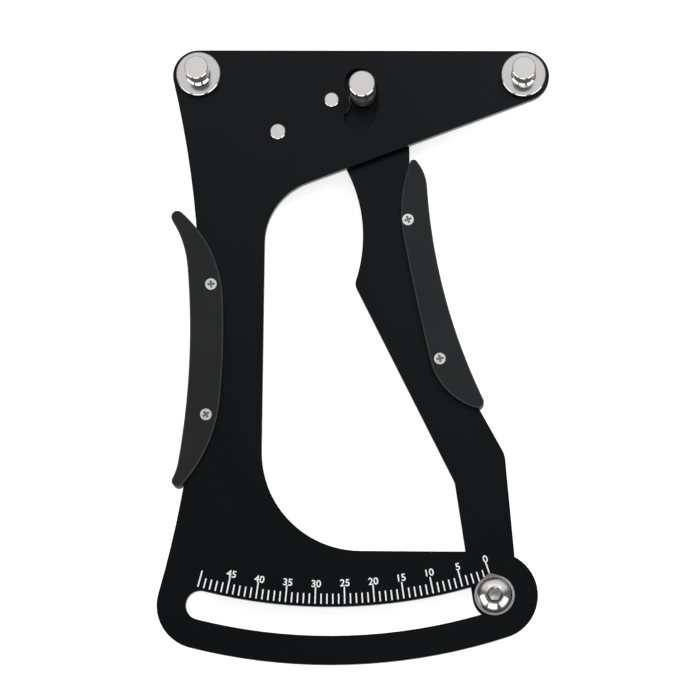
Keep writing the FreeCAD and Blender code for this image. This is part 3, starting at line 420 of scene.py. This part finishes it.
def plain_metal(name, tint, roughness, grain_size, shaded_under=None, metallic=1.0):
    """Plated or stamped metal: an even grain, duller patches, and painted shade below a height.

    Plating that is less than fully metallic looks hazy.
    """
    material, tree, shader = new_material(name)
    where = coordinates(tree)
    grain = noise(tree, where, grain_size, detail=3.0)
    patch = noise(tree, where, PATCH_SIZE)
    color = color_between(tree, patch, tuple(value * PATCH_DARKER for value in tint), tint)
    if shaded_under is not None:
        # painted shade in the crosses below a height
        color = cover(tree, color, under(tree, where, shaded_under), CROSS_SHADE)
    shader.inputs["Metallic"].default_value = metallic
    surface(tree, shader, color,
            rescale(tree, patch, NOISE_SPAN, (roughness, roughness + PATCH_ROUGHER)),
            [(grain, SHALLOW)])
    return material


def pointer_steel(name):
    """Satin stamped steel, with painted olive shade of the screw head towards the pointer's tip."""
    material, tree, shader = new_material(name)
    where = coordinates(tree, (*middle("pointer_screw").xy, 0))
    grain = noise(tree, where, POINTER_GRAIN, detail=3.0)
    reach = combine_vectors(tree, "DOT_PRODUCT", where, POINTER_WAY)
    tint = rescale(tree, reach, POINTER_FADE)
    # painted olive shade of the screw head towards the pointer's tip
    color = cover(tree, color_between(tree, grain, *POINTER_TONES), tint, POINTER_HEAD_SHADE)
    shader.inputs["Metallic"].default_value = POINTER_METALLIC
    surface(tree, shader, color, rescale(tree, grain, NOISE_SPAN, POINTER_ROUGHNESS),
            [(grain, SHALLOW)])
    return material


def natural_plastic(name):
    """Unpigmented acetal, a little translucent."""
    material, tree, shader = new_material(name)
    grain = noise(tree, coordinates(tree), ACETAL_GRAIN)
    shader.inputs["Subsurface Weight"].default_value = ACETAL_SCATTER
    shader.inputs["Subsurface Scale"].default_value = ACETAL_SCATTER_SIZE
    surface(tree, shader, color_between(tree, grain, *ACETAL_TONES),
            rescale(tree, grain, NOISE_SPAN, ACETAL_ROUGHNESS), [(grain, SHALLOW)])
    return material


def white_ink(name):
    """Screen-printed ink: nearly even white, with a dry, slightly mottled surface."""
    material, tree, shader = new_material(name)
    mottle = noise(tree, coordinates(tree), INK_MOTTLE, detail=3.0)
    surface(tree, shader, color_between(tree, mottle, *INK_TONES),
            rescale(tree, mottle, NOISE_SPAN, INK_ROUGHNESS), [(mottle, SHALLOW)])
    return material


def dress(node, material):
    """Give a CAD node one material."""
    mesh = nodes[node].data
    mesh.materials.clear()
    mesh.materials.append(material)


def dress_all():
    """Give every CAD node its finish."""
    dress("body_plate", black_anodised("body_black"))
    dress("lever_plate", black_anodised("lever_black", LEVER_SHIFT))
    plastic = grip_plastic("grip_plastic")
    zinc = plain_metal("zinc", ZINC_TINT, ZINC_ROUGHNESS, ZINC_GRAIN)
    for side in ("left", "right"):
        dress(side + "_grip_front", plastic)
        dress(side + "_grip_rear", plastic)
        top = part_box(side + "_grip_screws")[1].z
        # the crosses of the screws get painted shade below their top
        dress(side + "_grip_screws",
              plain_metal(side + "_screw_zinc", SCREW_TINT, ZINC_ROUGHNESS, ZINC_GRAIN,
                          shaded_under=top - CROSS_CLEAR, metallic=SCREW_METALLIC))
        dress(side + "_grip_nuts", zinc)
    for node in ("pivot_pin", "spring_anchor"):
        dress(node, turned_steel(node + "_steel", middle(node)))
    for node in ("left_post", "right_post"):
        dress(node, turned_steel(node + "_steel", middle(node), foot=POST_FOOT))
    # the middle post's dark foot is painted shade, on hazier steel
    dress("middle_post", turned_steel("middle_post_steel", middle("middle_post"),
                                      foot=MIDDLE_SHADED_FOOT, hazy_foot=True))
    dress("pointer_screw", turned_steel("pointer_screw_steel", middle("pointer_screw"),
                                        recess=SOCKET_ROUND, rim=HEAD_RIM))
    dress("pointer", pointer_steel("pointer_steel"))
    for node in ("guide_sleeve", "nut_washer", "pointer_nut", "spring_spool", "pivot_washer"):
        dress(node, zinc)
    dress("return_spring",
          plain_metal("spring_steel", SPRING_TINT, SPRING_ROUGHNESS, SPRING_GRAIN))
    dress("slide_washer", natural_plastic("acetal"))


# ---------------------------------------------------------------- return spring
def wind_spring():
    """The return spring: a copy of its packed mesh in the same place, shown instead of the hidden
    packed node.
    """
    packed = nodes["return_spring"]
    piece = bpy.data.objects.new("wound_return_spring", packed.data.copy())
    bpy.context.scene.collection.objects.link(piece)
    piece.matrix_world = packed.matrix_world
    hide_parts("return_spring")
    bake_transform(piece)


# ---------------------------------------------------------------- printed scale
def scale_frame(number):
    """Directions along the arc and towards the pivot at a number of the scale."""
    angle = ZERO_ANGLE - number * TICK_STEP
    along = Vector((math.cos(angle), math.sin(angle), 0))
    inward = Vector((-math.sin(angle), math.cos(angle), 0))
    return along, inward


def add_piece(name, vertices, faces, material, body):
    """A piece of the visual model that goes with a body."""
    mesh = bpy.data.meshes.new(name)
    mesh.from_pydata(vertices, [], faces)
    mesh.materials.append(material)
    piece = bpy.data.objects.new(name, mesh)
    bpy.context.scene.collection.objects.link(piece)
    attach(piece, body)


def scale_lines(front, ink):
    """The scale's lines, each a thin slab of ink on the front face."""
    centre = Vector((PIVOT.x, PIVOT.y, 0))
    box_faces = ((3, 2, 1, 0), (4, 5, 6, 7), (1, 5, 4, 0), (2, 6, 5, 1), (3, 7, 6, 2), (0, 4, 7, 3))
    vertices, faces = [], []
    for number in range(TICK_COUNT):
        along, inward = scale_frame(number)
        inner = TICK_SHORT if number % LONG_EVERY else TICK_LONG
        first = len(vertices)
        for height in (front, front + INK_THICK):
            for radius, side in ((TICK_OUTER, -1), (TICK_OUTER, 1), (inner, 1), (inner, -1)):
                spot = centre - inward * radius + along * side * TICK_WIDTH / 2
                vertices.append((spot.x, spot.y, height))
        faces += [tuple(first + corner for corner in face) for face in box_faces]
    add_piece("scale_lines", vertices, faces, ink, "body")


def digit_mesh(text):
    """A number as a flat slab of ink of the print's height, centred on the origin."""
    curve = bpy.data.curves.new("digits", "FONT")
    curve.body = text
    curve.extrude = 0.5
    curve.offset = DIGIT_BOLDER
    curve.resolution_u = DIGIT_STEPS
    carrier = bpy.data.objects.new("digits", curve)
    bpy.context.scene.collection.objects.link(carrier)
    bpy.context.view_layer.update()
    evaluated = carrier.evaluated_get(bpy.context.evaluated_depsgraph_get())
    mesh = bpy.data.meshes.new_from_object(evaluated)
    bpy.data.objects.remove(carrier)
    low, high = (Vector([end(vertex.co[axis] for vertex in mesh.vertices) for axis in range(3)])
                 for end in (min, max))
    tall = NUMBER_HEIGHT / (high.y - low.y)
    stretch = (tall * DIGIT_WIDER, tall, INK_THICK / (high.z - low.z))
    mesh.transform(Matrix.Translation(-(low + high) / 2))
    mesh.transform(Matrix.Diagonal((*stretch, 1.0)))
    return mesh


def scale_numbers(front, ink):
    """The scale's plain numbers, one at each long line but the last, with their tops inward."""
    centre = Vector((PIVOT.x, PIVOT.y, front + INK_THICK / 2))
    vertices, faces = [], []
    for radius_mm, number in zip(NUMBER_RADII_MM, range(0, LAST_NUMBER + 1, LONG_EVERY)):
        along, inward = scale_frame(number)
        spot = centre - inward * radius_mm * MM + along * NUMBER_ALONG
        mesh = digit_mesh(str(number))
        first = len(vertices)
        for vertex in mesh.vertices:
            x, y, z = vertex.co
            vertices.append(tuple(spot + along * x + inward * y + Vector((0, 0, z))))
        faces += [tuple(first + corner for corner in face.vertices) for face in mesh.polygons]
        bpy.data.meshes.remove(mesh)
    add_piece("scale_numbers", vertices, faces, ink, "body")


# ---------------------------------------------------------------- stage
def seen_directly(tree, path):
    """1 for camera, glossy and transmission rays, else 0."""
    total = path.outputs["Is Camera Ray"]
    for ray in ("Is Glossy Ray", "Is Transmission Ray"):
        total = combine(tree, "MAXIMUM", total, path.outputs[ray])
    return total


def make_floor():
    """A floor at the level on which the meter lies, pale near it and grey further out.

    It glows for the camera and for reflections, yet keeps the meter's shadow.
    """
    bpy.ops.mesh.primitive_plane_add(size=FLOOR_SIZE, location=(0, 0, cad_box[0][2]))
    floor = bpy.context.object
    floor.name = "floor"
    material, tree, shader = new_material("floor")
    far = rescale(tree, combine_vectors(tree, "LENGTH", coordinates(tree)), FLOOR_FADE)
    tree.links.new(cover(tree, FLOOR_NEAR, far, FLOOR_FAR), shader.inputs["Base Color"])
    shader.inputs["Roughness"].default_value = FLOOR_ROUGHNESS
    shader.inputs["Specular IOR Level"].default_value = 0.0
    path = tree.nodes.new("ShaderNodeLightPath")
    near = combine(tree, "SUBTRACT", 1.0, far)
    close = combine(tree, "MULTIPLY", seen_directly(tree, path), near)
    beyond = combine(tree, "MULTIPLY", path.outputs["Is Camera Ray"], far)
    glow = combine(tree, "ADD", combine(tree, "MULTIPLY", close, FLOOR_LIFT), beyond)
    shader.inputs["Emission Color"].default_value = (*WHITE, 1.0)
    tree.links.new(glow, shader.inputs["Emission Strength"])
    floor.data.materials.append(material)


def make_sky():
    """A soft dome of light, brightest low behind the posts; the camera itself sees white."""
    world = bpy.data.worlds.new("studio")
    world.use_nodes = True
    bpy.context.scene.world = world
    tree = world.node_tree
    background = tree.nodes["Background"]
    source = tree.nodes.new("ShaderNodeTexCoord")
    facing = combine_vectors(tree, "DOT_PRODUCT", source.outputs["Generated"], SKY_TOWARDS)
    level = rescale(tree, facing, SKY_FADE, SKY_STRENGTHS, "SMOOTHSTEP")
    path = tree.nodes.new("ShaderNodeLightPath")
    strength = tree.nodes.new("ShaderNodeMix")
    strength.data_type = "FLOAT"
    strength.inputs["B"].default_value = 1.0
    tree.links.new(level, strength.inputs["A"])
    tree.links.new(path.outputs["Is Camera Ray"], strength.inputs["Factor"])
    tree.links.new(strength.outputs["Result"], background.inputs["Strength"])
    background.inputs["Color"].default_value = (*WHITE, 1.0)


def add_soft_box(name, place, width, height, radiance, color=WHITE, mirrored=True):
    """A rectangular soft box at a place, facing the meter; its power follows from its size."""
    light = bpy.data.lights.new(name, "AREA")
    light.shape = "RECTANGLE"
    light.size = width
    light.size_y = height
    light.energy = radiance * math.pi * width * height
    light.color = color
    lamp = bpy.data.objects.new(name, light)
    lamp.location = place
    lamp.rotation_euler = place.to_track_quat("Z", "Y").to_euler()
    lamp.visible_glossy = mirrored
    bpy.context.scene.collection.objects.link(lamp)


def make_lights():
    """Three low soft boxes on the scale's side, which the domed metal mirrors, and three more.

    Those are a panel over the posts, a key at their right and a fill.
    """
    level, rise = math.cos(BOX_ELEVATION), math.sin(BOX_ELEVATION)
    for number, (azimuth, width) in enumerate(BOX_AZIMUTHS_WIDTHS):
        turn = math.radians(azimuth)
        direction = Vector((math.sin(turn) * level, -math.cos(turn) * level, rise))
        add_soft_box("soft_box_%d" % number, direction * BOX_DISTANCE, width, BOX_HEIGHT,
                     BOX_RADIANCE)
    add_soft_box("top_panel", TOP_PLACE, TOP_WIDTH, TOP_HEIGHT, TOP_RADIANCE)
    add_soft_box("key", KEY_PLACE, KEY_SIZE, KEY_SIZE, KEY_RADIANCE, color=KEY_COLOR)
    add_soft_box("fill", FILL_PLACE, FILL_SIZE, FILL_SIZE, FILL_RADIANCE, mirrored=False)


def make_camera():
    """The camera, turned about its own axis by its roll."""
    roll = Matrix.Rotation(CAMERA_ROLL, 3, "Z")
    straight = Vector((math.tan(CAMERA_RIGHT), -math.tan(CAMERA_BELOW), 1.0)).normalized()
    back = roll @ straight
    up = roll @ Vector((0, 1, 0))
    right = up.cross(back).normalized()
    turned = Matrix((right, back.cross(right), back)).transposed()
    lens = bpy.data.cameras.new("camera")
    lens.sensor_fit = "HORIZONTAL"
    lens.sensor_width = SENSOR
    lens.lens = SENSOR * FOCAL_PIXELS / IMAGE_SIZE
    lens.clip_start = CLIP_START
    lens.clip_end = CLIP_END
    camera = bpy.data.objects.new("camera", lens)
    camera.matrix_world = Matrix.Translation(AIM + back * CAMERA_DISTANCE) @ turned.to_4x4()
    bpy.context.scene.collection.objects.link(camera)
    bpy.context.scene.camera = camera


dress_all()
wind_spring()
front_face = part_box("body_plate")[1].z
print_ink = white_ink("scale_ink")
scale_lines(front_face, print_ink)
scale_numbers(front_face, print_ink)
make_floor()
make_sky()
make_lights()
make_camera()
bpy.context.scene.view_settings.view_transform = "Standard"
